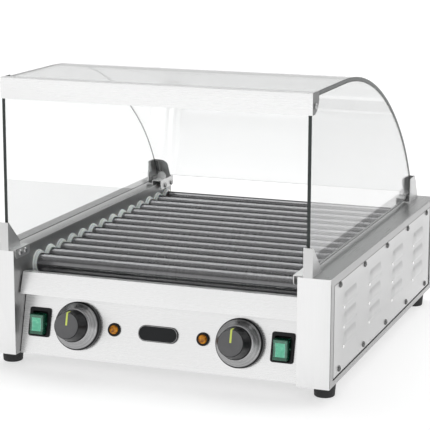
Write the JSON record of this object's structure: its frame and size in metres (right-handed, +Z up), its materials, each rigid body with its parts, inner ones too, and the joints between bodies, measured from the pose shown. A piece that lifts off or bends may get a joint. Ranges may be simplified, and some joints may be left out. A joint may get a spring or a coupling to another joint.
{
  "type": "hot dog roller grill",
  "caption": "Counter-top roller grill with chain-driven heated rollers, a pull-out drip tray, two heat zones and a curved glass hood.",
  "frame": {"origin": "centre of the footprint, on the surface that the rubber feet stand on", "axes": "+X to the operator's right across the grill, +Y from the control panel to the rear, +Z up"},
  "size_m": [0.4676, 0.5812, 0.3802],
  "materials": {
    "stainless": "brushed stainless sheet, satin",
    "stainless_dark": "mill-finish stainless sheet, duller",
    "galvanised": "galvanised sheet",
    "screw_steel": "plated screw steel",
    "roller_coat": "dark grey non-stick coating on steel tube, satin",
    "ptfe": "white low-friction plastic",
    "heater_sheath": "heat-tinted steel sheath",
    "rubber_black": "black rubber",
    "gasket_grey": "grey silicone rubber",
    "panel_plastic": "black moulded plastic, fine grain",
    "bezel_metal": "brushed metal dial skirt",
    "knob_plastic": "black moulded knob",
    "rocker_green": "translucent green",
    "lamp_orange": "translucent orange",
    "badge_black": "dark badge with a pale border",
    "glass_clear": "clear toughened glass",
    "thermostat_body": "plated steel and ceramic",
    "motor_paint": "black-painted motor and cast gearbox",
    "sprocket_steel": "plain machined steel",
    "chain_steel": "oiled chain steel",
    "terminal_plastic": "off-white heat-resistant plastic"
  },
  "bodies": {
    "cabinet": {"base_pan": "galvanised", "rear_panel": "stainless", "control_panel": "stainless", "badge_plate": "badge_black", "left_inner_wall": "stainless_dark", "right_inner_wall": "stainless_dark", "left_casing": "stainless", "right_casing": "stainless", "left_side_cover": "stainless_dark", "right_side_cover": "stainless_dark", "side_cover_screws": "screw_steel", "feet": "rubber_black", "left_bushes": "ptfe", "right_bushes": "ptfe", "heater_elements": "heater_sheath", "heater_rails": "galvanised", "left_switch_housing": "panel_plastic", "right_switch_housing": "panel_plastic", "pilot_lamps": "lamp_orange", "left_dial_bezel": "bezel_metal", "right_dial_bezel": "bezel_metal", "left_thermostat": "thermostat_body", "right_thermostat": "thermostat_body", "gear_motor": "motor_paint", "drive_chain": "chain_steel", "terminal_block": "terminal_plastic", "cable_gland": "panel_plastic", "left_glass_panel": "glass_clear", "right_glass_panel": "glass_clear", "curved_cover": "glass_clear", "cover_front_lip": "stainless", "lip_screws": "screw_steel", "front_left_bracket": "stainless", "front_right_bracket": "stainless", "rear_left_bracket": "stainless", "rear_right_bracket": "stainless", "bracket_bolts": "screw_steel", "glass_gaskets": "gasket_grey"},
    "left_control": {"left_knob": "knob_plastic", "left_spindle": "sprocket_steel"},
    "right_control": {"right_knob": "knob_plastic", "right_spindle": "sprocket_steel"},
    "left_switch": {"left_rocker": "rocker_green"},
    "right_switch": {"right_rocker": "rocker_green"},
    "tray": {"drip_tray": "stainless"},
    "motor_shaft": {"motor_sprocket": "sprocket_steel"},
    "roller_01": {"roller_01": "roller_coat"},
    "roller_02": {"roller_02": "roller_coat"},
    "roller_03": {"roller_03": "roller_coat"},
    "roller_04": {"roller_04": "roller_coat"},
    "roller_05": {"roller_05": "roller_coat"},
    "roller_06": {"roller_06": "roller_coat"},
    "roller_07": {"roller_07": "roller_coat"},
    "roller_08": {"roller_08": "roller_coat"},
    "roller_09": {"roller_09": "roller_coat"},
    "roller_10": {"roller_10": "roller_coat"},
    "roller_11": {"roller_11": "roller_coat"},
    "roller_12": {"roller_12": "roller_coat"},
    "roller_13": {"roller_13": "roller_coat"},
    "roller_14": {"roller_14": "roller_coat"}
  },
  "joints": [
    {"name": "roller_01_spin", "type": "hinge", "parent": "cabinet", "child": "roller_01", "pos_m": [0, -0.2015, 0.128], "axis": [1, 0, 0], "continuous": true, "deforming": ["drive_chain"]},
    {"name": "roller_02_spin", "type": "hinge", "parent": "cabinet", "child": "roller_02", "pos_m": [0, -0.167, 0.128], "axis": [1, 0, 0], "continuous": true},
    {"name": "roller_03_spin", "type": "hinge", "parent": "cabinet", "child": "roller_03", "pos_m": [0, -0.1325, 0.128], "axis": [1, 0, 0], "continuous": true},
    {"name": "roller_04_spin", "type": "hinge", "parent": "cabinet", "child": "roller_04", "pos_m": [0, -0.098, 0.128], "axis": [1, 0, 0], "continuous": true},
    {"name": "roller_05_spin", "type": "hinge", "parent": "cabinet", "child": "roller_05", "pos_m": [0, -0.0635, 0.128], "axis": [1, 0, 0], "continuous": true},
    {"name": "roller_06_spin", "type": "hinge", "parent": "cabinet", "child": "roller_06", "pos_m": [0, -0.029, 0.128], "axis": [1, 0, 0], "continuous": true},
    {"name": "roller_07_spin", "type": "hinge", "parent": "cabinet", "child": "roller_07", "pos_m": [0, 0.0055, 0.128], "axis": [1, 0, 0], "continuous": true},
    {"name": "roller_08_spin", "type": "hinge", "parent": "cabinet", "child": "roller_08", "pos_m": [0, 0.04, 0.128], "axis": [1, 0, 0], "continuous": true},
    {"name": "roller_09_spin", "type": "hinge", "parent": "cabinet", "child": "roller_09", "pos_m": [0, 0.0745, 0.128], "axis": [1, 0, 0], "continuous": true},
    {"name": "roller_10_spin", "type": "hinge", "parent": "cabinet", "child": "roller_10", "pos_m": [0, 0.109, 0.128], "axis": [1, 0, 0], "continuous": true},
    {"name": "roller_11_spin", "type": "hinge", "parent": "cabinet", "child": "roller_11", "pos_m": [0, 0.1435, 0.128], "axis": [1, 0, 0], "continuous": true},
    {"name": "roller_12_spin", "type": "hinge", "parent": "cabinet", "child": "roller_12", "pos_m": [0, 0.178, 0.128], "axis": [1, 0, 0], "continuous": true},
    {"name": "roller_13_spin", "type": "hinge", "parent": "cabinet", "child": "roller_13", "pos_m": [0, 0.2125, 0.128], "axis": [1, 0, 0], "continuous": true},
    {"name": "roller_14_spin", "type": "hinge", "parent": "cabinet", "child": "roller_14", "pos_m": [0, 0.247, 0.128], "axis": [1, 0, 0], "continuous": true},
    {"name": "motor_shaft_spin", "type": "hinge", "parent": "cabinet", "child": "motor_shaft", "pos_m": [0.18, 0.029, 0.0552], "axis": [1, 0, 0], "continuous": true},
    {"name": "left_knob_turn", "type": "hinge", "parent": "cabinet", "child": "left_control", "pos_m": [-0.1102, -0.26703, 0.06573], "axis": [0, 0.9664, -0.2571], "range_deg": [0, 300]},
    {"name": "right_knob_turn", "type": "hinge", "parent": "cabinet", "child": "right_control", "pos_m": [0.1102, -0.26703, 0.06573], "axis": [0, 0.9664, -0.2571], "range_deg": [0, 300]},
    {"name": "left_rocker_tip", "type": "hinge", "parent": "cabinet", "child": "left_switch", "pos_m": [-0.1654, -0.24903, 0.05949], "axis": [-1, 0, 0], "range_deg": [0, 20]},
    {"name": "right_rocker_tip", "type": "hinge", "parent": "cabinet", "child": "right_switch", "pos_m": [0.1654, -0.24903, 0.05949], "axis": [-1, 0, 0], "range_deg": [0, 20]},
    {"name": "tray_slide", "type": "slide", "parent": "cabinet", "child": "tray", "axis": [0, -1, 0], "range_m": [0, 0.42]}
  ],
  "couplings": [
    {"joint": "roller_02_spin", "follows": "roller_01_spin", "ratio": 1},
    {"joint": "roller_03_spin", "follows": "roller_01_spin", "ratio": 1},
    {"joint": "roller_04_spin", "follows": "roller_01_spin", "ratio": 1},
    {"joint": "roller_05_spin", "follows": "roller_01_spin", "ratio": 1},
    {"joint": "roller_06_spin", "follows": "roller_01_spin", "ratio": 1},
    {"joint": "roller_07_spin", "follows": "roller_01_spin", "ratio": 1},
    {"joint": "roller_08_spin", "follows": "roller_01_spin", "ratio": 1},
    {"joint": "roller_09_spin", "follows": "roller_01_spin", "ratio": 1},
    {"joint": "roller_10_spin", "follows": "roller_01_spin", "ratio": 1},
    {"joint": "roller_11_spin", "follows": "roller_01_spin", "ratio": 1},
    {"joint": "roller_12_spin", "follows": "roller_01_spin", "ratio": 1},
    {"joint": "roller_13_spin", "follows": "roller_01_spin", "ratio": 1},
    {"joint": "roller_14_spin", "follows": "roller_01_spin", "ratio": 1},
    {"joint": "motor_shaft_spin", "follows": "roller_01_spin", "ratio": 1}
  ]
}
